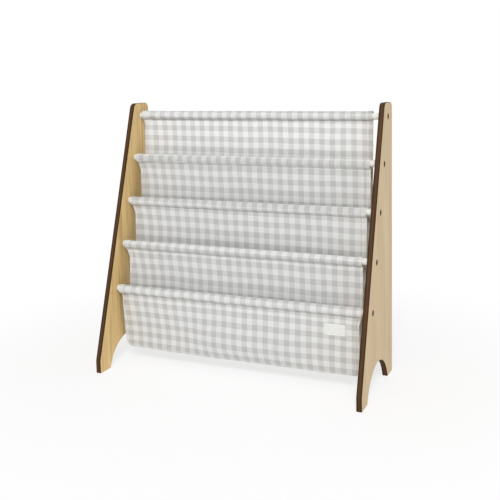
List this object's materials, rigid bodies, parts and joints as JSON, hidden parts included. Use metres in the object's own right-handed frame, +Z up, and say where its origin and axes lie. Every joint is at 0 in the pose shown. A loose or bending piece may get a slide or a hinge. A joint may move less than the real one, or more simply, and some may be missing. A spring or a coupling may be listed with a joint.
{
  "type": "sling bookshelf",
  "caption": "Child-height bookshelf: slanted board sides with arched feet, raked round rods and a gingham cloth sling that hangs in open pockets for books.",
  "frame": {"origin": "on the floor, under the middle of the shelf's bounding box", "axes": "+X along the rods, to the right for someone facing the shelf; +Y from the front to the back; +Z up"},
  "size_m": [0.628, 0.254, 0.61],
  "materials": {
    "board": "satin pale wood faces with dark brown sealed edges",
    "rod": "satin white paint",
    "cloth": "plain-woven cotton, white and warm grey gingham",
    "screw": "dark bronze",
    "label": "bare woven tape"
  },
  "bodies": {
    "root": {"side_panel_left": "board", "side_panel_right": "board", "rod_1": "rod", "rod_2": "rod", "rod_3": "rod", "rod_4": "rod", "rod_5": "rod", "sleeve_1": "cloth", "sleeve_2": "cloth", "sleeve_3": "cloth", "sleeve_4": "cloth", "sleeve_5": "cloth", "pocket_1": "cloth", "pocket_2": "cloth", "pocket_3": "cloth", "pocket_4": "cloth", "screw_left_1": "screw", "screw_left_2": "screw", "screw_left_3": "screw", "screw_left_4": "screw", "screw_left_5": "screw", "screw_right_1": "screw", "screw_right_2": "screw", "screw_right_3": "screw", "screw_right_4": "screw", "screw_right_5": "screw", "sewn_label": "label"}
  },
  "joints": []
}
